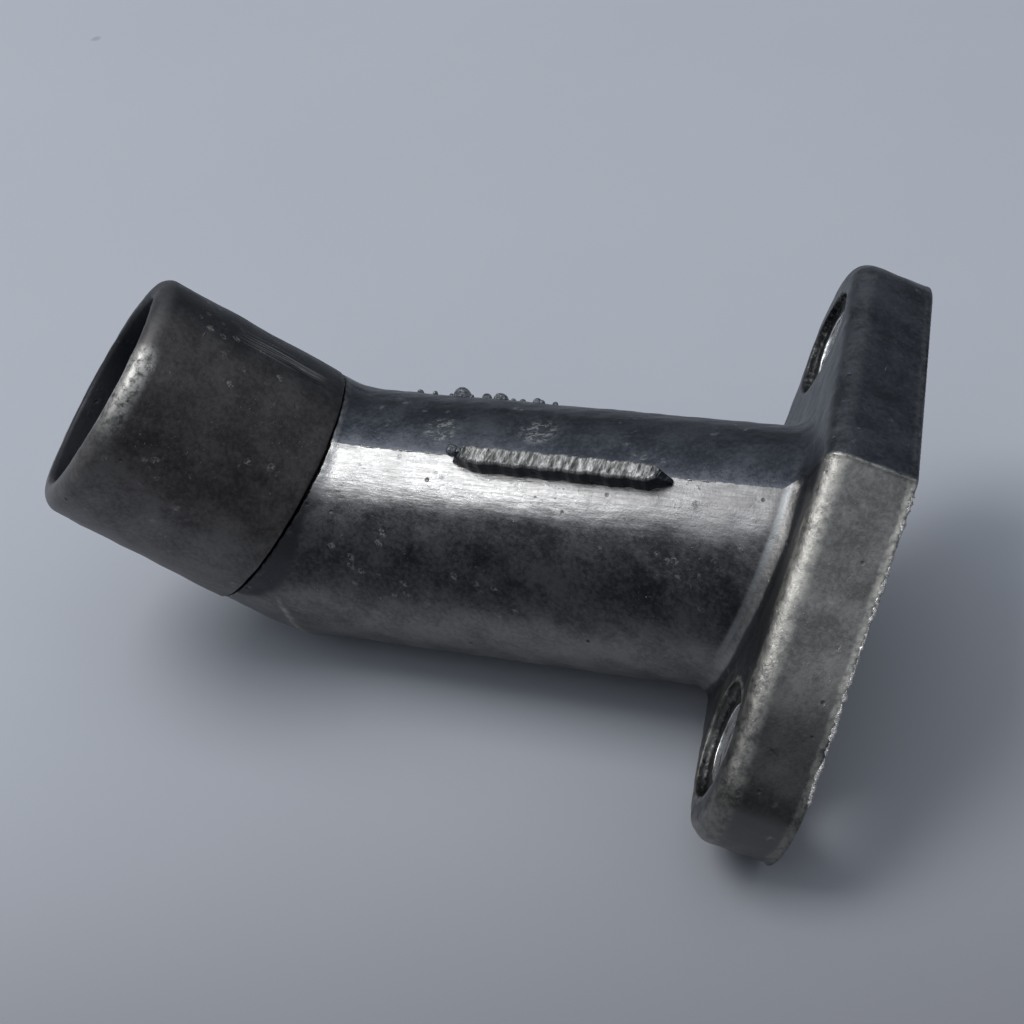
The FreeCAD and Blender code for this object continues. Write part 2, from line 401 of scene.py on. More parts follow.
# %% Helpers for node trees
def new_tree(name, inputs):
    """Tree with named number inputs: a whole number makes an integer socket."""
    tree = bpy.data.node_groups.new(name, "GeometryNodeTree")
    sockets = tree.interface
    sockets.new_socket("Geometry", in_out="INPUT", socket_type="NodeSocketGeometry")
    for label, value in inputs.items():
        kind = "NodeSocketInt" if isinstance(value, int) else "NodeSocketFloat"
        sockets.new_socket(label, in_out="INPUT", socket_type=kind).default_value = value
    sockets.new_socket("Material", in_out="INPUT", socket_type="NodeSocketMaterial")
    sockets.new_socket("Geometry", in_out="OUTPUT", socket_type="NodeSocketGeometry")
    return tree


def node(tree, kind, links=None, **settings):
    """Add a node, set its properties, then feed its inputs with values or other sockets."""
    n = tree.nodes.new(kind)
    for key, value in settings.items():
        setattr(n, key, value)
    for key, value in (links or {}).items():
        socket = n.inputs[key]
        if isinstance(value, bpy.types.NodeSocket):
            tree.links.new(value, socket)
        else:
            socket.default_value = value
    return n


def finish_tree(tree, geometry, entry):
    whole = node(tree, "GeometryNodeRealizeInstances", {0: geometry})
    smooth = node(tree, "GeometryNodeSetShadeSmooth", {0: whole.outputs[0]})
    painted = node(tree, "GeometryNodeSetMaterial",
                   {"Geometry": smooth.outputs[0], "Material": entry.outputs["Material"]})
    node(tree, "NodeGroupOutput", {"Geometry": painted.outputs[0]})


def run_tree(name, mesh, tree, material, values):
    obj = show(name, mesh)
    modifier = obj.modifiers.new("make", "NODES")
    modifier.node_group = tree
    for item in tree.interface.items_tree:
        if item.item_type == "SOCKET" and item.in_out == "INPUT":
            if item.name == "Material":
                modifier[item.identifier] = material
            elif item.name in values:
                modifier[item.identifier] = values[item.name]
    made = bpy.data.meshes.new_from_object(
        obj.evaluated_get(bpy.context.evaluated_depsgraph_get()))
    obj.modifiers.clear()
    obj.data = made
    made.name = name
    print("%s: %d faces" % (name, len(made.polygons)))
    return obj


def push_by_noise(tree, geometry, scale, detail, middle, amount):
    """Move each corner along its normal by a noise, counted from the noise's middle value."""
    place = node(tree, "GeometryNodeInputPosition")
    lump = node(tree, "ShaderNodeTexNoise", {"Vector": place.outputs[0], "Scale": scale,
                                             "Detail": detail})
    push = times(tree, maths(tree, "SUBTRACT", lump.outputs["Fac"], middle), amount)
    way = node(tree, "GeometryNodeInputNormal")
    offset = node(tree, "ShaderNodeVectorMath", {0: way.outputs[0], "Scale": push},
                  operation="SCALE")
    moved = node(tree, "GeometryNodeSetPosition", {"Geometry": geometry,
                                                   "Offset": offset.outputs[0]})
    return moved.outputs[0]


# %% [markdown]
# ## Materials
# The whole part is one alloy, but it wears different coats: a smooth grey-blue skin above the parting
# plane, a burnished band just under it whose colour also holds a painted highlight, a dull dark sleeve
# with painted shading, and bare bright metal where something has rubbed, torn or cut it. Painted shade
# and painted reflections sit in some coats too. What the coats share is built once as shader groups.

# %% Shader helpers
def shader_group(name, inputs, outputs):
    """Group whose outputs are numbers; an input is a vector where its value is None."""
    group = bpy.data.node_groups.new(name, "ShaderNodeTree")
    for label, value in inputs.items():
        kind = "NodeSocketVector" if value is None else "NodeSocketFloat"
        socket = group.interface.new_socket(label, in_out="INPUT", socket_type=kind)
        if value is not None:
            socket.default_value = value
    for label in outputs:
        group.interface.new_socket(label, in_out="OUTPUT", socket_type="NodeSocketFloat")
    return group


def maths(tree, operation, a, b=0.0, c=None, clamp=False):
    links = {0: a, 1: b}
    if c is not None:
        links[2] = c
    return node(tree, "ShaderNodeMath", links, operation=operation, use_clamp=clamp).outputs[0]


def times(tree, *factors):
    """Product of any number of masks and values."""
    product = factors[0]
    for factor in factors[1:]:
        product = maths(tree, "MULTIPLY", product, factor)
    return product


def dot(tree, vector, way):
    return node(tree, "ShaderNodeVectorMath", {0: vector, 1: way},
                operation="DOT_PRODUCT").outputs["Value"]


def ramp(tree, value, start, end, low_value=0.0, high_value=1.0):
    """Smooth step from low_value at start to high_value at end."""
    n = node(tree, "ShaderNodeMapRange", {"Value": value},
             interpolation_type="SMOOTHSTEP")
    if start > end:
        start, end, low_value, high_value = end, start, high_value, low_value
    n.inputs["From Min"].default_value = start
    n.inputs["From Max"].default_value = end
    n.inputs["To Min"].default_value = low_value
    n.inputs["To Max"].default_value = high_value
    return n.outputs["Result"]


def noise(tree, vector, scale, detail=4.0, roughness=0.55):
    n = node(tree, "ShaderNodeTexNoise", {"Vector": vector, "Scale": scale, "Detail": detail,
                                          "Roughness": roughness})
    return n.outputs["Fac"]


def stretched(tree, vector, factors):
    return node(tree, "ShaderNodeVectorMath", {0: vector, 1: factors},
                operation="MULTIPLY").outputs[0]


def mix_colour(tree, amount, a, b):
    n = tree.nodes.new("ShaderNodeMix")
    n.data_type = "RGBA"
    for socket, value in ((n.inputs[0], amount), (n.inputs[6], a), (n.inputs[7], b)):
        if isinstance(value, bpy.types.NodeSocket):
            tree.links.new(value, socket)
        else:
            socket.default_value = value
    return n.outputs[2]


def tint(tree, colour, mask, towards, strength=1.0):
    """Carry a colour towards another where the mask is high."""
    amount = mask if strength == 1.0 else times(tree, mask, strength)
    return mix_colour(tree, amount, colour, towards)


# %% Group: the mottle, grain and pits of a cast skin
def build_cast_skin():
    g = shader_group("cast_skin", {"Vector": None, "Pits": 0.5}, ("Mottle", "Height", "Pit"))
    entry = node(g, "NodeGroupInput")
    v = entry.outputs["Vector"]
    broad = noise(g, v, 0.28, 5.0, 0.6)
    fine = noise(g, v, 2.4, 6.0, 0.65)
    mottle = maths(g, "MULTIPLY_ADD", broad, 0.55, times(g, fine, 0.45))
    mottle = ramp(g, mottle, 0.36, 0.64)
    cells = node(g, "ShaderNodeTexVoronoi", {"Vector": v, "Scale": 0.75}, feature="F1")
    rare = noise(g, v, 0.35, 2.0)
    near = ramp(g, cells.outputs["Distance"], 0.20, 0.05)
    pit = times(g, near, ramp(g, rare, 0.56, 0.68), entry.outputs["Pits"])
    height = maths(g, "MULTIPLY_ADD", pit, -1.6, times(g, fine, 0.55))
    grain = noise(g, v, 9.0, 3.0, 0.6)
    height = maths(g, "MULTIPLY_ADD", grain, 0.22, height)
    node(g, "NodeGroupOutput", {"Mottle": mottle, "Height": height, "Pit": pit})
    return g


cast_skin = build_cast_skin()

# %% Group: short bright scratches and nicks
def build_scuffs():
    g = shader_group("scuffs", {"Vector": None, "Amount": 0.5}, ("Scratch", "Nick"))
    entry = node(g, "NodeGroupInput")
    v = entry.outputs["Vector"]
    total = None
    for turn, stretch in ((0.5, (5.5, 0.35, 5.5)), (1.9, (0.4, 6.5, 3.0)), (2.7, (4.5, 4.5, 0.3))):
        turned = node(g, "ShaderNodeVectorRotate", {"Vector": v, "Angle": turn,
                                                    "Axis": (0.4, 0.6, 0.7)}).outputs[0]
        line = ramp(g, noise(g, stretched(g, turned, stretch), 1.0, 2.0, 0.5), 0.70, 0.78)
        total = line if total is None else maths(g, "MAXIMUM", total, line)
    patch = ramp(g, noise(g, v, 0.22, 3.0), 0.48, 0.62)
    scratch = times(g, total, patch, entry.outputs["Amount"])
    cells = node(g, "ShaderNodeTexVoronoi", {"Vector": stretched(g, v, (1.0, 1.6, 1.0)),
                                             "Scale": 0.55}, feature="F1")
    spot = ramp(g, cells.outputs["Distance"], 0.30, 0.14)
    group_of = ramp(g, noise(g, v, 0.16, 2.0), 0.52, 0.60)
    broken = ramp(g, noise(g, v, 3.5, 4.0, 0.7), 0.44, 0.60)
    nick = times(g, spot, group_of, broken, entry.outputs["Amount"])
    node(g, "NodeGroupOutput", {"Scratch": scratch, "Nick": nick})
    return g


scuffs = build_scuffs()

# %% Group: where a point is, in the maker's millimetres
def build_maker_place():
    """Distance over the parting plane, along an axis, around it and away from it."""
    g = shader_group("maker_place", {"Vector": None, "Start": None, "Along": None, "Side": None},
                     ("Over", "Run", "Angle", "Off"))
    entry = node(g, "NodeGroupInput")
    off = node(g, "ShaderNodeVectorMath", {0: entry.outputs["Vector"], 1: entry.outputs["Start"]},
               operation="SUBTRACT").outputs[0]
    along = dot(g, off, entry.outputs["Along"])
    side = dot(g, off, entry.outputs["Side"])
    over = node(g, "ShaderNodeSeparateXYZ", {0: off}).outputs["Z"]
    angle = maths(g, "DEGREES", maths(g, "ARCTAN2", over, side))
    away = maths(g, "SQRT", maths(g, "MULTIPLY_ADD", over, over, times(g, side, side)))
    node(g, "NodeGroupOutput", {"Over": over, "Run": along, "Angle": angle, "Off": away})
    return g


maker_place = build_maker_place()

# %% Start a material in the maker's millimetres
frame_to_maker_turn = Matrix([list(map(float, row)) for row in AXES]).to_euler("XYZ")
frame_to_maker_shift = Vector((-(AXES @ zero)).tolist())


def new_material(name):
    """Material, its tree, its Principled shader and Object coordinates in the maker's millimetres."""
    material = bpy.data.materials.new(name)
    material.use_nodes = True
    tree = material.node_tree
    shader = tree.nodes["Principled BSDF"]
    coords = node(tree, "ShaderNodeTexCoord").outputs["Object"]
    mapping = node(tree, "ShaderNodeMapping", {"Vector": coords, "Location": frame_to_maker_shift,
                                               "Rotation": frame_to_maker_turn,
                                               "Scale": (1 / MM, 1 / MM, 1 / MM)})
    return material, tree, shader, mapping.outputs[0]


def use(tree, group, links):
    """Place a shader group and feed its inputs by name."""
    n = node(tree, "ShaderNodeGroup", node_tree=group)
    for key, value in links.items():
        if isinstance(value, bpy.types.NodeSocket):
            tree.links.new(value, n.inputs[key])
        else:
            n.inputs[key].default_value = value
    return n


def set_bump(tree, shader, height, distance_mm, strength):
    bump = node(tree, "ShaderNodeBump", {"Height": height, "Distance": distance_mm * MM,
                                         "Strength": strength})
    tree.links.new(bump.outputs[0], shader.inputs["Normal"])


def paint(tree, shader, colour, roughness, metallic):
    tree.links.new(colour, shader.inputs["Base Color"])
    tree.links.new(roughness, shader.inputs["Roughness"])
    shader.inputs["Metallic"].default_value = metallic


def around_tube(tree, v):
    return use(tree, maker_place, {"Vector": v, "Start": (0.0, 0.0, 0.0),
                                   "Along": tuple(tube_dir), "Side": tuple(tube_side)})


def around_spigot(tree, v):
    return use(tree, maker_place, {"Vector": v, "Start": tuple(bend),
                                   "Along": tuple(spigot_dir), "Side": tuple(spigot_side)})


# %% [markdown]
# ## The casting's finish
# Above the parting plane the skin is smooth and dark grey-blue. Under it, hands and a file have
# burnished a band along the tube, and the band's fade down the tube is a painted highlight; lower
# still the dull skin comes back, paler underneath with a painted reflection of the floor. Painted
# shade darkens the flange's lower end and the passage, and a painted highlight runs along the fillet.
# Edges of the flange are worn bright on the lower half only. One material holds all of that, because
# on the real thing the coats run into each other.

# %% Points on the tube's skin
def skin_radius(along):
    """Radius of the tube a given distance along its centre line."""
    share = (along - flange_top_run) / (run - flange_top_run)
    return TUBE_RADIUS_AT_FLANGE + (TUBE_RADIUS_AT_ELBOW - TUBE_RADIUS_AT_FLANGE) * share


def tube_point(along, out, over):
    """Point at a distance along the tube, out on its gate side and over the parting plane."""
    return tube_dir * along + tube_side * out + np.array([0, 0, over])


def on_tube_skin(from_flange, turn_deg, lift_mm):
    along = flange_top_run + from_flange
    out = skin_radius(along) + lift_mm
    turn = math.radians(turn_deg)
    return tube_point(along, out * math.cos(turn), out * math.sin(turn))


# %% Where a point of the casting lies
def casting_measures(tree, v):
    """What the coats go by: lengths in millimetres, the turn in degrees and masks from 0 to 1."""
    at = SimpleNamespace()
    tube, spigot = around_tube(tree, v), around_spigot(tree, v)
    at.along, at.angle, at.off_tube = (tube.outputs[name] for name in ("Run", "Angle", "Off"))
    at.past_bend, at.off_spigot = spigot.outputs["Run"], spigot.outputs["Off"]
    parts = node(tree, "ShaderNodeSeparateXYZ", {"Vector": v})
    at.out, at.gate_side, at.over = (parts.outputs[name] for name in "XYZ")
    at.on_flange = ramp(tree, at.out, 9.4, 8.0)
    ragged = maths(tree, "MULTIPLY_ADD", noise(tree, v, 1.6, 3.0), 0.3, -0.15)
    over_line = maths(tree, "MULTIPLY_ADD", at.on_flange, -flange_shift, at.over)
    at.over_line = maths(tree, "ADD", over_line, ragged)
    at.under = ramp(tree, at.over_line, 0.05, -0.05)
    at.near_end = ramp(tree, at.over, -13.5, -21.0)
    at.streak = noise(tree, stretched(tree, v, (0.28, 0.5, 3.2)), 1.0, 6.0, 0.7)
    at.blotch = noise(tree, v, 0.45, 4.0, 0.6)
    return at


# %% Masks of the burnished band with its painted highlight, and the worn edges
def burnish_and_painted_highlight(tree, at):
    """Bright from the parting plane down, fading in long streaks and towards the flange; a real
    burnish, whose fade down the tube is a painted highlight.
    """
    on_tube = times(tree, ramp(tree, at.out, 8.6, 10.0),
                    ramp(tree, at.along, run + 1.5, run - 0.4))
    faded = maths(tree, "ADD", maths(tree, "MULTIPLY_ADD", at.streak, 6.0, at.angle),
                  times(tree, at.blotch, 9.0))
    return times(tree, at.under, on_tube, ramp(tree, faded, -21.0, -9.0),
                 ramp(tree, at.along, flange_top_run, run - 18.0, 0.35, 1.0))


def worn_edges(tree, v, at):
    """Edges rubbed bright on the lower half, less so by the flange's end and not at the seam."""
    worn = node(tree, "ShaderNodeAttribute", attribute_name="edge_wear").outputs["Fac"]
    rub = ramp(tree, noise(tree, v, 1.3, 5.0, 0.65), 0.30, 0.62)
    at_seam = times(tree, ramp(tree, at.past_bend, seam_at - 1.4, seam_at - 1.0), at.under)
    return times(tree, ramp(tree, worn, 0.12, 0.6), rub,
                 ramp(tree, at.over_line, 0.5, -0.5, 0.10, 1.0),
                 ramp(tree, at.near_end, 0.0, 1.0, 1.0, 0.35),
                 ramp(tree, at_seam, 0.0, 1.0, 1.0, 0.0))


# %% Colours under the parting plane
DARK_TUBE = ((0.038, 0.038, 0.042, 1), (0.115, 0.112, 0.115, 1))
# painted reflection of the pale floor on the tube's underside
BELLY_PAINTED_REFLECTION = ((0.12, 0.118, 0.118, 1), (0.26, 0.255, 0.25, 1))
DULL_RIM = ((0.15, 0.145, 0.14, 1), (0.31, 0.30, 0.29, 1))
# painted shade for the flange's lower end, next to the table
RIM_END_PAINTED_SHADE = (0.03, 0.03, 0.032, 1)
RIM_END_EDGE = (0.20, 0.20, 0.195, 1)
PLATE_TOP = (0.055, 0.057, 0.062, 1)


def lower_coat(tree, at, mottle):
    """A dark tube with a paler belly that is a painted reflection of the floor, the flange's dull rim
    with painted shade at its lower end, and its dark tube side.
    """
    # painted reflection: the tube turns paler low on its underside, where it would mirror the floor
    belly = ramp(tree, maths(tree, "MULTIPLY_ADD", at.blotch, 14.0, at.angle), -52.0, -76.0)
    tube = mix_colour(tree, belly, mix_colour(tree, mottle, *DARK_TUBE),
                      mix_colour(tree, mottle, *BELLY_PAINTED_REFLECTION))
    # painted shade: the rim darkens towards the flange's lower end, next to the table
    rim = tint(tree, mix_colour(tree, mottle, *DULL_RIM), at.near_end, RIM_END_PAINTED_SHADE, 0.78)
    rim = tint(tree, rim, ramp(tree, at.over, -25.6, -26.6), RIM_END_EDGE, 0.6)
    thinning = maths(tree, "ABSOLUTE", maths(tree, "SUBTRACT", at.over, flange_shift))
    level = maths(tree, "MULTIPLY_ADD", thinning, math.tan(DRAFT), at.out)
    plate_top = times(tree, ramp(tree, level, flange_thick + 0.12, flange_thick + 0.36),
                      ramp(tree, at.off_tube, 11.98, 12.2))
    return tint(tree, mix_colour(tree, at.on_flange, tube, rim), plate_top, PLATE_TOP)


# %% Scuffs beside the gate, painted shade in the passage and the bare holes
SCUFFS_BY_GATE = ((22.0, 36.0, 0.9), (18.6, 19.0, 2.2), (27.5, 14.0, 2.0))
# painted shade for the inside of the passage
PASSAGE_PAINTED_SHADE = (0.030, 0.031, 0.035, 1)
BARE_HOLE = (0.95, 0.95, 0.95, 1)


def add_gate_scuffs(tree, v, rubbed):
    """Add broken patches at (distance from the flange, turn in degrees, radius)."""
    for along, turn, size in SCUFFS_BY_GATE:
        far = node(tree, "ShaderNodeVectorMath", {0: v, 1: tuple(on_tube_skin(along, turn, 0.0))},
                   operation="DISTANCE").outputs["Value"]
        broken = ramp(tree, noise(tree, stretched(tree, v, (1.0, 2.0, 2.0)), 1.1, 4.0, 0.7),
                      0.48, 0.60)
        rubbed = maths(tree, "MAXIMUM", rubbed,
                       times(tree, ramp(tree, far, size, size * 0.4), broken))
    return rubbed


def add_openings(tree, v, at, colour):
    """Paint shade into the passage, roughen the spot faces and bare the holes; gives colour and
    bareness.
    """
    off_stub = maths(tree, "ADD", at.off_spigot, ramp(tree, at.past_bend, -1.0, -2.0, 0.0, 9.0))
    inside = ramp(tree, maths(tree, "MINIMUM", at.off_tube, off_stub), 10.4, 9.9)
    # painted shade: the inside of the passage is darkened almost to black
    colour = tint(tree, colour, inside, PASSAGE_PAINTED_SHADE)
    drilled = []
    for end in (-1, 1):
        off_z = maths(tree, "SUBTRACT", at.over, flange_shift + end * bolt_reach)
        off_bolt = maths(tree, "SQRT", maths(tree, "MULTIPLY_ADD", off_z, off_z,
                                             times(tree, at.gate_side, at.gate_side)))
        pocket = times(tree, ramp(tree, off_bolt, SPOT_FACE_RADIUS + 0.3, SPOT_FACE_RADIUS),
                       ramp(tree, at.out, flange_thick - 1.2, flange_thick - 0.9))
        torn = ramp(tree, noise(tree, v, 2.2, 5.0, 0.75), 0.50, 0.62, 0.03, 0.15)
        floor_tone = node(tree, "ShaderNodeCombineXYZ", {"X": torn, "Y": torn, "Z": torn})
        colour = tint(tree, colour, pocket, floor_tone.outputs[0])
        drilled.append(ramp(tree, off_bolt, bolt_radius + 0.30, bolt_radius + 0.12))
    chatter = noise(tree, stretched(tree, v, (5.0, 0.5, 0.5)), 1.0, 3.0)
    bare = times(tree, maths(tree, "MAXIMUM", *drilled), ramp(tree, chatter, 0.36, 0.52, 0.25, 1.0))
    return tint(tree, colour, bare, BARE_HOLE), bare


# %% Material: cast body
UPPER_SKIN = ((0.032, 0.036, 0.045, 1), (0.078, 0.085, 0.100, 1))
# burnished finish whose bright colour also holds a painted highlight
BURNISH_AND_PAINTED_HIGHLIGHT = ((0.30, 0.295, 0.29, 1), (0.54, 0.535, 0.53, 1))
# painted highlight along the fillet between tube and flange
FILLET_PAINTED_HIGHLIGHT = (0.40, 0.42, 0.43, 1)
WORN_EDGE = (0.56, 0.54, 0.48, 1)
RUBBED = (0.42, 0.42, 0.41, 1)
CASTING_PIT = (0.015, 0.015, 0.018, 1)


def build_cast_body():
    material, tree, shader, v = new_material("cast_alloy_body")
    skin = use(tree, cast_skin, {"Vector": v, "Pits": 0.8})
    marks = use(tree, scuffs, {"Vector": v, "Amount": 0.8})
    mottle = skin.outputs["Mottle"]
    at = casting_measures(tree, v)
    # burnished finish with a painted highlight: its bright colour fades down the tube where the lamp's
    # highlight fades
    band = burnish_and_painted_highlight(tree, at)
    colour = mix_colour(tree, at.under, mix_colour(tree, mottle, *UPPER_SKIN),
                        lower_coat(tree, at, mottle))
    bright = mix_colour(tree, ramp(tree, at.streak, 0.30, 0.72), *BURNISH_AND_PAINTED_HIGHLIGHT)
    colour = tint(tree, colour, band, bright)
    # painted highlight: a thin pale line along the fillet under the parting plane
    fillet = times(tree, ramp(tree, at.out, 8.4, 8.7), ramp(tree, at.out, 9.2, 8.9), at.under,
                   ramp(tree, at.angle, -88.0, -60.0))
    colour = tint(tree, colour, fillet, FILLET_PAINTED_HIGHLIGHT, 0.4)
    colour = tint(tree, colour, worn_edges(tree, v, at), WORN_EDGE, 0.85)
    rubbed = maths(tree, "MAXIMUM", marks.outputs["Scratch"], marks.outputs["Nick"])
    rubbed = add_gate_scuffs(tree, v, rubbed)
    colour = tint(tree, colour, rubbed, RUBBED, 0.5)
    colour = tint(tree, colour, skin.outputs["Pit"], CASTING_PIT, 0.8)
    colour, bare = add_openings(tree, v, at, colour)
    rough = ramp(tree, mottle, 0.0, 1.0, 0.33, 0.45)
    rough = maths(tree, "MULTIPLY_ADD", band, -0.07, rough)
    rough = maths(tree, "MULTIPLY_ADD", bare, -0.10, rough)
    rough = maths(tree, "MULTIPLY_ADD", skin.outputs["Pit"], 0.3, rough, clamp=True)
    paint(tree, shader, colour, rough, 0.9)
    height = maths(tree, "MULTIPLY_ADD", rubbed, 0.5, skin.outputs["Height"])
    height = maths(tree, "MULTIPLY_ADD", times(tree, at.streak, band), 0.7, height)
    set_bump(tree, shader, height, 0.09, 0.8)
    return material


cast_body = build_cast_body()
cast_elbow.data.materials.clear()
cast_elbow.data.materials.append(cast_body)

# %% Masks of the sleeve's rubbed lip and drag marks
def rubbed_lip(tree, v, along, angle):
    """The lip is rubbed bright on its gate side only."""
    return times(tree, ramp(tree, along, rim_at - 2.4, rim_at - 1.2), ramp(tree, angle, -56, -20),
                 ramp(tree, angle, 3, -7),
                 ramp(tree, noise(tree, v, 1.7, 5.0, 0.7), 0.32, 0.6))


def drag_marks(tree, along, angle):
    """Fine lines along the axis, near the elbow and high on the gate side."""
    place = times(tree, ramp(tree, along, seam_at + 1.5, seam_at + 3.5),
                  ramp(tree, along, seam_at + 12.0, seam_at + 8.0),
                  ramp(tree, angle, 22, 26), ramp(tree, angle, 40, 34))
    unrolled = node(tree, "ShaderNodeCombineXYZ", {"X": times(tree, angle, 0.55),
                                                   "Y": times(tree, along, 0.05)})
    return times(tree, place, ramp(tree, noise(tree, unrolled.outputs[0], 1.0, 3.0), 0.46, 0.60))


# %% Material: dull sleeve
# painted shading of the sleeve: darkest on top, a middle tone on its sides, palest underneath
SLEEVE_TOP_PAINTED_SHADE = ((0.006, 0.007, 0.009, 1), (0.026, 0.028, 0.033, 1))
SLEEVE_SIDE = ((0.034, 0.031, 0.032, 1), (0.092, 0.087, 0.087, 1))
SLEEVE_BELLY_PAINTED_LIGHT = ((0.075, 0.070, 0.070, 1), (0.185, 0.178, 0.175, 1))
LIP_EDGE = (0.24, 0.235, 0.23, 1)
LIP_BRIGHT = (0.48, 0.47, 0.44, 1)
DRAGGED = (0.30, 0.29, 0.28, 1)
SLEEVE_RUBBED = (0.45, 0.44, 0.43, 1)
SLEEVE_PIT = (0.015, 0.015, 0.017, 1)
# painted shade for the inside of the sleeve's mouth
SLEEVE_INSIDE_PAINTED_SHADE = (0.030, 0.032, 0.038, 1)


def build_sleeve_finish():
    material, tree, shader, v = new_material("dull_alloy_sleeve")
    skin = use(tree, cast_skin, {"Vector": v, "Pits": 1.0})
    marks = use(tree, scuffs, {"Vector": v, "Amount": 0.9})
    mottle = skin.outputs["Mottle"]
    place = around_spigot(tree, v)
    along, angle = place.outputs["Run"], place.outputs["Angle"]
    # painted shading by how the sleeve faces: dark on top, a middle tone on the sides, pale underneath
    top, side, belly = (mix_colour(tree, mottle, *pair)
                        for pair in (SLEEVE_TOP_PAINTED_SHADE, SLEEVE_SIDE, SLEEVE_BELLY_PAINTED_LIGHT))
    turned_down = maths(tree, "MULTIPLY_ADD", noise(tree, v, 0.3, 4.0), 24.0, angle)
    colour = mix_colour(tree, ramp(tree, turned_down, 50.0, 18.0), top, side)
    colour = mix_colour(tree, ramp(tree, turned_down, -22.0, -70.0), colour, belly)
    lip = rubbed_lip(tree, v, along, angle)
    colour = tint(tree, colour, ramp(tree, along, rim_at - 1.9, rim_at - 0.6), LIP_EDGE, 0.15)
    colour = tint(tree, colour, lip, LIP_BRIGHT)
    drag = drag_marks(tree, along, angle)
    colour = tint(tree, colour, drag, DRAGGED, 0.5)
    rubbed = maths(tree, "MAXIMUM", marks.outputs["Scratch"], marks.outputs["Nick"])
    colour = tint(tree, colour, rubbed, SLEEVE_RUBBED, 0.45)
    colour = tint(tree, colour, skin.outputs["Pit"], SLEEVE_PIT, 0.8)
    # painted shade: the inside of the mouth is darkened
    inside = ramp(tree, place.outputs["Off"], mouth_radius + 0.7, mouth_radius + 0.3)
    colour = tint(tree, colour, inside, SLEEVE_INSIDE_PAINTED_SHADE)
    rough = ramp(tree, mottle, 0.0, 1.0, 0.42, 0.56)
    paint(tree, shader, colour, maths(tree, "MULTIPLY_ADD", lip, -0.12, rough), 0.55)
    height = maths(tree, "MULTIPLY_ADD", rubbed, -0.8, skin.outputs["Height"])
    height = maths(tree, "MULTIPLY_ADD", drag, -0.8, height)
    set_bump(tree, shader, height, 0.09, 0.8)
    return material


sleeve_finish = build_sleeve_finish()

# %% Material: bare torn metal
def build_torn_metal(name, dark, light, roughness):
    material, tree, shader, v = new_material(name)
    skin = use(tree, cast_skin, {"Vector": v, "Pits": 0.4})
    tone = ramp(tree, noise(tree, v, 3.2, 5.0, 0.7), 0.32, 0.66)
    colour = mix_colour(tree, tone, dark, light)
    paint(tree, shader, colour,
          ramp(tree, tone, 0.0, 1.0, roughness + 0.12, roughness - 0.05), 0.95)
    set_bump(tree, shader, maths(tree, "ADD", tone, skin.outputs["Height"]), 0.08, 0.8)
    return material


torn_metal = build_torn_metal("torn_bare_metal", (0.25, 0.24, 0.23, 1), (0.80, 0.78, 0.76, 1), 0.30)
pip_metal = build_torn_metal("cast_pip_metal", (0.06, 0.065, 0.075, 1), (0.30, 0.31, 0.34, 1), 0.32)

# %% [markdown]
# ## The spigot sleeve, turned by a node tree
# The sleeve is a plain ring: one closed outline swept round the axis. The outline is drawn as a
# polyline, x being the distance from the outer skin and y the height along the axis, and the tree
# sweeps it along a circle. The waviness input makes the skin as uneven as the rest.

# %% Draw the sleeve's outline
SLEEVE_LIP = 1.6
SLEEVE_LIP_INSIDE = 0.5
SEAM_ROUND = 0.16
SEAM_CLEAR = 0.05
SOCKET_CLEAR = 0.08
SOCKET_DEEPER = 0.15
STEP = 0.34
INNER_STEP = 0.8


def arc(cx, cy, radius, start_deg, end_deg, count):
    turns = np.radians(np.linspace(start_deg, end_deg, count))
    return [(cx + radius * math.cos(t), cy + radius * math.sin(t)) for t in turns]


def straight(a, b, step=STEP):
    count = max(2, int(math.hypot(b[0] - a[0], b[1] - a[1]) / step))
    return [(a[0] + (b[0] - a[0]) * i / count, a[1] + (b[1] - a[1]) * i / count)
            for i in range(1, count)]


sleeve_length = rim_at - seam_at
inner_x = mouth_radius - spigot_radius
socket_x = REGISTER_RADIUS + SOCKET_CLEAR - spigot_radius
socket_end = REGISTER_LENGTH + SOCKET_DEEPER
corners = arc(-SEAM_ROUND, SEAM_ROUND + SEAM_CLEAR, SEAM_ROUND, -90, 0, 4)
corners += straight(corners[-1], (0, sleeve_length - SLEEVE_LIP))
corners += arc(-SLEEVE_LIP, sleeve_length - SLEEVE_LIP, SLEEVE_LIP, 0, 90, 10)
corners += arc(inner_x + SLEEVE_LIP_INSIDE, sleeve_length - SLEEVE_LIP_INSIDE,
               SLEEVE_LIP_INSIDE, 90, 180, 6)
corners += straight(corners[-1], (inner_x, socket_end), INNER_STEP)
corners += [(inner_x, socket_end), (socket_x, socket_end)]
corners += straight((socket_x, socket_end), (socket_x, SEAM_CLEAR), INNER_STEP)
corners += [(socket_x, SEAM_CLEAR)]
outline = bpy.data.meshes.new("sleeve_outline")
outline.from_pydata([(x * MM, y * MM, 0.0) for x, y in corners],
                    [(i, (i + 1) % len(corners)) for i in range(len(corners))], [])
print("outline of", len(corners), "points, sleeve", round(sleeve_length, 2), "mm long")

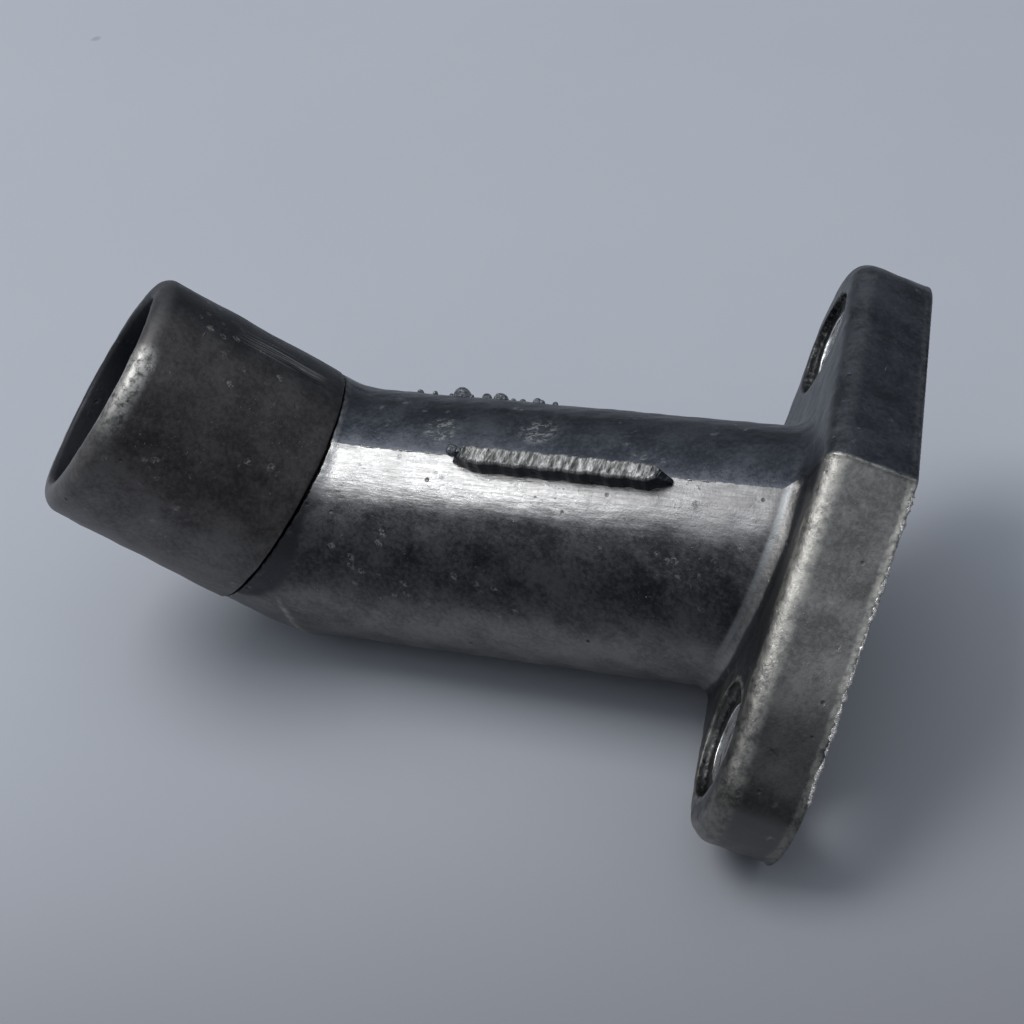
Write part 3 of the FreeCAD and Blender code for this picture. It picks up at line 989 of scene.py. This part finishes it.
# %% Tree: sweep an outline round a circle
def build_turned_ring():
    tree = new_tree("turned_ring", {"Outer radius": 0.012, "Steps around": 220,
                                    "Waviness": 0.00004, "Wave scale": 300.0})
    entry = node(tree, "NodeGroupInput")
    profile = node(tree, "GeometryNodeMeshToCurve", {"Mesh": entry.outputs["Geometry"]})
    rail = node(tree, "GeometryNodeCurvePrimitiveCircle",
                {"Resolution": entry.outputs["Steps around"],
                 "Radius": entry.outputs["Outer radius"]})
    upright = node(tree, "GeometryNodeSetCurveNormal", {"Curve": rail.outputs[0]}, mode="Z_UP")
    swept = node(tree, "GeometryNodeCurveToMesh", {"Curve": upright.outputs[0],
                                                   "Profile Curve": profile.outputs[0]})
    # the noise's own middle lies a little over a half, so the skin keeps inside its size
    wavy = push_by_noise(tree, swept.outputs[0], entry.outputs["Wave scale"], 4.0, 0.62,
                         entry.outputs["Waviness"])
    finish_tree(tree, wavy, entry)
    return tree


turned_ring = build_turned_ring()
sleeve = run_tree("spigot_sleeve_skin", outline, turned_ring, sleeve_finish,
                  {"Outer radius": spigot_radius * MM, "Steps around": 220,
                   "Waviness": 0.0003, "Wave scale": 260.0})
ring = np.array([v.co for v in sleeve.data.vertices], float)
print("ring radii %.2f..%.2f, heights %.2f..%.2f" % (
    np.hypot(ring[:, 0], ring[:, 1]).min() / MM, np.hypot(ring[:, 0], ring[:, 1]).max() / MM,
    ring[:, 2].min() / MM, ring[:, 2].max() / MM))

# %% Stand the ring on the seam
def ring_to_maker(points_mm):
    """Ring's own x, y and height to the maker's axes."""
    base = bend + spigot_dir * seam_at
    return (base + points_mm[:, :1] * spigot_side + points_mm[:, 1:2] * np.array([0, 0, 1.0])
            + points_mm[:, 2:] * spigot_dir)


# dents in the lip: where round it and how wide, in degrees, then how deep, in millimetres
LIP_DENTS = ((-8, 7, 0.22), (-30, 5, 0.12), (-52, 6, 0.10), (20, 5, 0.08),
             (75, 8, 0.15), (160, 9, 0.2), (-120, 7, 0.12))
LIP_DENTS_REACH = 4.0
LIP_DENTS_FADE = 3.0
OUTER_WALL = 1.5

ring_mm = ring / MM
if ring_mm[:, 2].min() < -1.0:
    ring_mm[:, 2] *= -1
off_ring_axis = np.hypot(ring_mm[:, 0], ring_mm[:, 1])
turned = np.degrees(np.arctan2(ring_mm[:, 1], ring_mm[:, 0]))
near_lip = np.clip((ring_mm[:, 2] - sleeve_length + LIP_DENTS_REACH) / LIP_DENTS_FADE, 0, 1)
dents = np.zeros(len(ring_mm))
for middle, wide, deep in LIP_DENTS:
    dents -= deep * np.exp(-((turned - middle) / wide) ** 2) * near_lip
radial = ring_mm[:, :2] / off_ring_axis[:, None]
outer_side = off_ring_axis > spigot_radius - OUTER_WALL
ring_mm[:, :2] += radial * (dents * outer_side)[:, None]
placed = np.clip(to_frame(ring_to_maker(ring_mm)), box_low, box_high)
sleeve.data.vertices.foreach_set("co", placed.astype(np.float32).ravel())
sleeve.data.update()


def face_outwards(obj):
    """Turn every face of a closed skin outwards."""
    work = bmesh.new()
    work.from_mesh(obj.data)
    bmesh.ops.recalc_face_normals(work, faces=work.faces)
    work.to_mesh(obj.data)
    work.free()


face_outwards(sleeve)
print("sleeve stands from %.1f to %.1f mm past the bend" % (seam_at, rim_at))

# %% [markdown]
# ## The gate stub
# Metal entered the die through a thin gate. It was broken off and left a proud bar along the parting
# line, smooth on its sides and torn on its face. The bar is a loft of one section along the tube, with
# waves for the coarse ridges of the torn face; its finish adds the fine ones.

# %% Loft the bar
GATE_START = 5.0
GATE_LENGTH = 20.2
GATE_HALF_WIDTH = 0.86
GATE_PROUD = 1.5
GATE_SLOPE = 1.5
GATE_DROP = 0.5
GATE_SUNK = 0.8
GATE_CORNER = 0.35
GATE_NARROW_ENDS = 2.6
GATE_STATIONS = 240
FACE_STEPS = 9


def gate_section(rise):
    """Section with round corners: (over, out) pairs from the upper root across to the lower."""
    wide = GATE_HALF_WIDTH
    corner = min(GATE_CORNER, max(rise, 0.05))
    half = [(wide, -GATE_SUNK), (wide, rise * 0.25), (wide, rise * 0.6)]
    half += arc(wide - corner, rise - corner, corner, 0, 90, 5)
    face = [((wide - corner) * (1 - i / FACE_STEPS), rise) for i in range(1, 2 * FACE_STEPS)]
    mirrored = [(-over, out) for over, out in reversed(half)]
    return half + face + mirrored


def torn_height(at, over):
    """Coarse ridges, fine ridges and a slight slope across the torn face, in millimetres."""
    coarse = 0.13 * math.sin(9.0 * at + 2.2 * over) * math.sin(3.1 * at - over)
    return coarse + 0.06 * math.sin(23 * at + 5 * over) + 0.12 * over


def gate_ring(at):
    """The section's points at a distance along the bar."""
    from_end = min(at, GATE_LENGTH - at)
    rise = GATE_PROUD * min(1.0, 0.12 + from_end / GATE_SLOPE) if from_end >= 0.05 else 0.0
    along = flange_top_run + GATE_START + at
    narrowing = min(1.0, 0.25 + from_end / GATE_NARROW_ENDS)
    wander = 0.06 * math.sin(2.1 * at) + 0.04 * math.sin(5.3 * at + 1)
    ring = []
    for over, out in gate_section(rise):
        torn = torn_height(at, over) if out > rise - 0.02 and rise > 0.5 else 0.0
        ring.append(tube_point(along, skin_radius(along) + out + torn,
                               (over + wander) * narrowing - GATE_DROP))
    return ring


def build_gate():
    points, faces = [], []
    for at in np.linspace(0, GATE_LENGTH, GATE_STATIONS):
        points += gate_ring(at)
    n = len(gate_section(GATE_PROUD))
    last = len(points) - n
    for start in range(0, last, n):
        for j in range(n):
            k = (j + 1) % n
            faces.append((start + j, start + k, start + n + k, start + n + j))
    first_middle, last_middle = len(points), len(points) + 1
    points += [np.mean(points[:n], axis=0), np.mean(points[last:last + n], axis=0)]
    for j in range(n):
        k = (j + 1) % n
        faces.append((first_middle, k, j))
        faces.append((last_middle, last + j, last + k))
    return np.array(points), faces


gate_points, gate_faces = build_gate()
gate_mesh = bpy.data.meshes.new("gate_bar")
gate_mesh.from_pydata(to_frame(gate_points).tolist(), [], gate_faces)
gate_mesh.validate()
gate_mesh.shade_smooth()
gate_bar = show("gate_bar", gate_mesh)
face_outwards(gate_bar)
print("gate bar:", len(gate_faces), "faces")

# %% Material: the gate bar, torn on its face and smooth below
def build_gate_finish():
    material, tree, shader, v = new_material("gate_bar_finish")
    skin = use(tree, cast_skin, {"Vector": v, "Pits": 0.6})
    place = around_tube(tree, v)
    over, along = place.outputs["Over"], place.outputs["Run"]
    ridges = node(tree, "ShaderNodeCombineXYZ", {
        "X": maths(tree, "MULTIPLY_ADD", over, 0.35, times(tree, along, 2.6)),
        "Y": times(tree, over, 0.7)})
    tears = noise(tree, ridges.outputs[0], 1.0, 6.0, 0.7)
    face_out = skin_radius(flange_top_run + GATE_START + GATE_LENGTH / 2) + GATE_PROUD
    face = ramp(tree, dot(tree, v, tuple(tube_side)), face_out - 0.42, face_out - 0.22)
    tone = ramp(tree, tears, 0.38, 0.68)
    torn = mix_colour(tree, tone, (0.13, 0.13, 0.125, 1), (0.75, 0.74, 0.72, 1))
    colour = mix_colour(tree, face, (0.045, 0.05, 0.058, 1), torn)
    paint(tree, shader, colour, ramp(tree, tone, 0.0, 1.0, 0.42, 0.28), 0.9)
    height = maths(tree, "MULTIPLY_ADD", times(tree, tears, face), 3.0, skin.outputs["Height"])
    set_bump(tree, shader, height, 0.1, 0.9)
    return material


gate_mesh.materials.append(build_gate_finish())

# %% [markdown]
# ## Cast pips
# Tiny round pips of metal sit along the top of the tube, where pockets in the die filled. They are
# one faceted ball, repeated on points that carry their own size: exactly what instancing is for.

# %% Tree: round pips on points
FULL_TURN = 6.28


def build_pips_tree():
    tree = new_tree("round_pips", {"Facets": 3, "Squash": 0.9, "Lumpiness": 0.00006})
    entry = node(tree, "NodeGroupInput")
    ball = node(tree, "GeometryNodeMeshIcoSphere", {"Radius": 1.0,
                                                    "Subdivisions": entry.outputs["Facets"]})
    size_of = node(tree, "GeometryNodeInputNamedAttribute", {"Name": "pip_radius"},
                   data_type="FLOAT")
    random_turn = node(tree, "FunctionNodeRandomValue", {"Seed": 5}, data_type="FLOAT_VECTOR")
    random_turn.inputs[1].default_value = (FULL_TURN, FULL_TURN, FULL_TURN)
    scale = node(tree, "ShaderNodeCombineXYZ", {"X": size_of.outputs[0], "Y": size_of.outputs[0],
                                                "Z": times(tree, size_of.outputs[0],
                                                           entry.outputs["Squash"])})
    placed = node(tree, "GeometryNodeInstanceOnPoints",
                  {"Points": entry.outputs["Geometry"], "Instance": ball.outputs["Mesh"],
                   "Rotation": random_turn.outputs[0], "Scale": scale.outputs[0]})
    whole = node(tree, "GeometryNodeRealizeInstances", {0: placed.outputs[0]})
    lumpy = push_by_noise(tree, whole.outputs[0], 1400.0, 2.0, 0.5, entry.outputs["Lumpiness"])
    finish_tree(tree, lumpy, entry)
    return tree


round_pips = build_pips_tree()

# %% Place the pips along the top of the tube and at the gate's end
# each pip's distance from the flange and radius, in millimetres, and its turn off the row
PIP_TURN = 59.0
PIP_SINK = 0.12
pips = [(34.1, 0.34, 2), (32.3, 0.28, -1), (31.0, 0.22, 3), (29.6, 0.95, 0), (27.2, 0.52, 1),
        (25.7, 0.74, 0), (23.7, 0.30, 2), (22.1, 0.48, 0), (21.5, 0.32, -2), (20.4, 0.28, 1),
        (28.3, 0.24, -4), (24.8, 0.30, 4)]


def seeds_mesh(name, places, radii):
    mesh = bpy.data.meshes.new(name)
    mesh.from_pydata(to_frame(places).tolist(), [], [])
    radius = mesh.attributes.new("pip_radius", "FLOAT", "POINT")
    radius.data.foreach_set("value", np.asarray(radii, np.float32) * MM)
    return mesh


places = [on_tube_skin(at, PIP_TURN + off_row, -PIP_SINK * radius) for at, radius, off_row in pips]
radii = [radius for _, radius, _ in pips]
# two more sit where the gate bar ends: distance, lift and radius
for at, lifted, radius in ((25.6, 0.1, 0.6), (25.0, 0.05, 0.35)):
    places.append(on_tube_skin(at, 2.0, lifted))
    radii.append(radius)
cast_pips = run_tree("cast_pips", seeds_mesh("pip_seeds", places, radii), round_pips, pip_metal,
                     {"Facets": 3, "Squash": 0.9, "Lumpiness": 0.00008})

# %% [markdown]
# ## Flash and burr
# Where the die halves meet, a hair of metal squeezes out, and along the mating face a cutter has
# raised a ragged burr. Both are a thin bead that follows a path and wanders: a curve is resampled,
# shaken by noise and given a small section of uneven thickness.

# %% Tree: a ragged bead along a path
def build_ragged_bead():
    tree = new_tree("ragged_bead", {"Spacing": 0.0003, "Thickness": 0.00015, "Wander": 0.0002,
                                    "Unevenness": 0.8, "Seed": 3})
    entry = node(tree, "NodeGroupInput")
    path = node(tree, "GeometryNodeMeshToCurve", {"Mesh": entry.outputs["Geometry"]})
    fine = node(tree, "GeometryNodeResampleCurve", {"Curve": path.outputs[0],
                                                    "Length": entry.outputs["Spacing"]},
                mode="LENGTH")
    place = node(tree, "GeometryNodeInputPosition")
    shake = node(tree, "ShaderNodeTexNoise", {"Vector": place.outputs[0], "Scale": 900.0,
                                              "Detail": 3.0})
    centred = node(tree, "ShaderNodeVectorMath", {0: shake.outputs["Color"],
                                                  1: (0.5, 0.5, 0.5)}, operation="SUBTRACT")
    offset = node(tree, "ShaderNodeVectorMath", {0: centred.outputs[0],
                                                 "Scale": entry.outputs["Wander"]},
                  operation="SCALE")
    moved = node(tree, "GeometryNodeSetPosition", {"Geometry": fine.outputs[0],
                                                   "Offset": offset.outputs[0]})
    low_end = maths(tree, "SUBTRACT", 1.0, entry.outputs["Unevenness"])
    uneven = node(tree, "FunctionNodeRandomValue", {"Seed": entry.outputs["Seed"]},
                  data_type="FLOAT")
    tree.links.new(low_end, uneven.inputs[2])
    uneven.inputs[3].default_value = 1.6
    thick = node(tree, "GeometryNodeSetCurveRadius", {"Curve": moved.outputs[0],
                                                      "Radius": uneven.outputs[1]})
    section = node(tree, "GeometryNodeCurvePrimitiveCircle",
                   {"Resolution": 6, "Radius": entry.outputs["Thickness"]})
    swept = node(tree, "GeometryNodeCurveToMesh",
                 {"Curve": thick.outputs[0], "Profile Curve": section.outputs[0],
                  "Fill Caps": True})
    if "Scale" in swept.inputs:
        radius = node(tree, "GeometryNodeInputRadius")
        tree.links.new(radius.outputs[0], swept.inputs["Scale"])
    finish_tree(tree, swept.outputs[0], entry)
    return tree


ragged_bead = build_ragged_bead()


def path_mesh(name, points_mm):
    mesh = bpy.data.meshes.new(name)
    mesh.from_pydata(to_frame(points_mm).tolist(), [(i, i + 1) for i in range(len(points_mm) - 1)],
                     [])
    return mesh


# %% Burr along the lower half of the mating edge
def rim_point(share, x, inset=0.0):
    """Point on the gate-side rim of the lower half: share 0 at the side corner, 1 at the end arc."""
    reach, lean = flange_sides()
    out = np.array([math.cos(lean), -math.sin(lean)])
    corner = np.array([FLANGE_HALF_WIDTH, flange_shift])
    tangent = np.array([0.0, flange_shift - reach]) + FLANGE_END_RADIUS * out
    at = corner + (tangent - corner) * min(share, 1.0) - out * inset
    if share > 1.0:
        turn = math.atan2(out[1], out[0]) - (share - 1.0)
        centre = np.array([0.0, flange_shift - reach])
        at = centre + (FLANGE_END_RADIUS - inset) * np.array([math.cos(turn), math.sin(turn)])
    return [x, at[0], at[1]]


burr_path = [rim_point(s, 0.12, 0.16) for s in np.linspace(0.05, 1.25, 60)]
edge_burr = run_tree("edge_burr", path_mesh("burr_path", burr_path), ragged_bead, torn_metal,
                     {"Spacing": 0.0003, "Thickness": 0.00019, "Wander": 0.0004,
                      "Unevenness": 0.75, "Seed": 4})

# %% Flash along the parting line of the tube, past the gate and before it
# where each stretch starts and ends, from the flange, and how many points it has
FLASH_STRETCHES = ((26.2, 34.5, 30), (1.4, 4.6, 12))
FLASH_TURN = -0.1
FLASH_LIFT = -0.05
FLASH_SEED = 8

flash_pieces = []
for i, stretch in enumerate(FLASH_STRETCHES):
    path = [on_tube_skin(at, FLASH_TURN, FLASH_LIFT) for at in np.linspace(*stretch)]
    flash_pieces.append(run_tree("parting_flash_%d" % (i + 1), path_mesh("flash_path", path),
                                 ragged_bead, torn_metal,
                                 {"Spacing": 0.0003, "Thickness": 0.00006, "Wander": 0.00012,
                                  "Unevenness": 0.9, "Seed": FLASH_SEED + i}))

# %% [markdown]
# ## Floor, light and camera
# The part lies on a pale matt table. One big soft lamp hangs up and to the left, and the room round
# it is dim, so the metal shows one long highlight and deep greys beside it.

# %% Where the viewer stands, in the maker's axes
CAMERA_PLACE = (37.812, 153.149, -88.474)
CAMERA_RIGHT = (-0.93564, 0.20626, 0.28641)
CAMERA_UP = (0.34946, 0.42765, 0.83366)
LENS = 72.88
view_right = np.array(CAMERA_RIGHT) @ AXES
view_up = np.array(CAMERA_UP) @ AXES
view_back = np.cross(view_right, view_up)
level = math.hypot(view_back[0], view_back[1])
NEAR_SIDE = (float(view_back[0] / level), float(view_back[1] / level), 0.0)

# %% Floor
TABLE_HALF = 1.2
TABLE_SHADES = ((0.435, 0.455, 0.50, 1), (0.475, 0.495, 0.54, 1))
TABLE_NEAR = (0.22, 0.222, 0.243, 1)
TABLE_DUST = (0.22, 0.22, 0.23, 1)


def build_floor():
    mesh = bpy.data.meshes.new("table_top")
    half = TABLE_HALF
    mesh.from_pydata([(-half, -half, 0), (half, -half, 0), (half, half, 0), (-half, half, 0)],
                     [], [(0, 1, 2, 3)])
    material = bpy.data.materials.new("pale_matt_table")
    material.use_nodes = True
    tree = material.node_tree
    shader = tree.nodes["Principled BSDF"]
    v = node(tree, "ShaderNodeTexCoord").outputs["Object"]
    broad = noise(tree, v, 18.0, 4.0)
    colour = mix_colour(tree, broad, *TABLE_SHADES)
    # the light falls off towards the near side of the table
    near = dot(tree, v, NEAR_SIDE)
    colour = tint(tree, colour, ramp(tree, near, -0.01, 0.072), TABLE_NEAR)
    speck = node(tree, "ShaderNodeTexVoronoi", {"Vector": v, "Scale": 95.0}, feature="F1")
    dust = times(tree, ramp(tree, speck.outputs["Distance"], 0.10, 0.04),
                 ramp(tree, noise(tree, v, 60.0, 2.0), 0.60, 0.66))
    colour = tint(tree, colour, dust, TABLE_DUST, 0.45)
    tree.links.new(colour, shader.inputs["Base Color"])
    shader.inputs["Roughness"].default_value = 0.75
    mesh.materials.append(material)
    floor = show("table_top", mesh)


build_floor()

# %% Lights
LAMP_TOWARDS = Vector((-0.46, -0.04, 0.88)).normalized()
LAMP_DISTANCE = 0.7
LAMP_SIZE = 0.40
LAMP_WATTS = 2.2
ROOM_DARK = (0.035, 0.038, 0.045, 1)
ROOM_PALE = (0.86, 0.92, 1.0, 1)
ROOM_STRENGTH = 0.75

lamp = bpy.data.lights.new("soft_lamp", "AREA")
lamp.shape = "RECTANGLE"
lamp.size = LAMP_SIZE
lamp.size_y = LAMP_SIZE
lamp.energy = LAMP_WATTS
soft_lamp = bpy.data.objects.new("soft_lamp", lamp)
soft_lamp.location = LAMP_TOWARDS * LAMP_DISTANCE
soft_lamp.rotation_euler = (-LAMP_TOWARDS).to_track_quat("-Z", "Y").to_euler()
bpy.context.scene.collection.objects.link(soft_lamp)
world = bpy.data.worlds.new("dim_room")
world.use_nodes = True
sky = world.node_tree
height = node(sky, "ShaderNodeSeparateXYZ",
              {"Vector": node(sky, "ShaderNodeTexCoord").outputs["Generated"]}).outputs["Z"]
glow = mix_colour(sky, ramp(sky, height, 0.05, 0.95), ROOM_DARK, ROOM_PALE)
sky.links.new(glow, sky.nodes["Background"].inputs["Color"])
sky.nodes["Background"].inputs["Strength"].default_value = ROOM_STRENGTH
bpy.context.scene.world = world
bpy.context.scene.view_settings.view_transform = "Standard"

# %% Camera
camera_data = bpy.data.cameras.new("viewpoint")
camera_data.lens = LENS
camera_data.sensor_width = 36.0
camera_data.clip_start = 0.005
camera = bpy.data.objects.new("viewpoint", camera_data)
bpy.context.scene.collection.objects.link(camera)
right = Vector(view_right.tolist()).normalized()
up = Vector(view_up.tolist()).normalized()
back = right.cross(up).normalized()
up = back.cross(right)
turn = Matrix((right, up, back)).transposed().to_4x4()
camera.matrix_world = Matrix.Translation(Vector(to_frame(CAMERA_PLACE).tolist())) @ turn
bpy.context.scene.camera = camera
print("camera", tuple(round(c, 4) for c in camera.location))

# %% [markdown]
# ## Attach each piece to the frame
# Every piece rides on the one body, and the two skins stand for their plain solids, which are hidden.

# %% Ride and replace
for piece in (cast_elbow, gate_bar, cast_pips, edge_burr, *flash_pieces):
    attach(piece, "root")
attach(sleeve, "root")
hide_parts("body_casting")
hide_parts("spigot_sleeve")
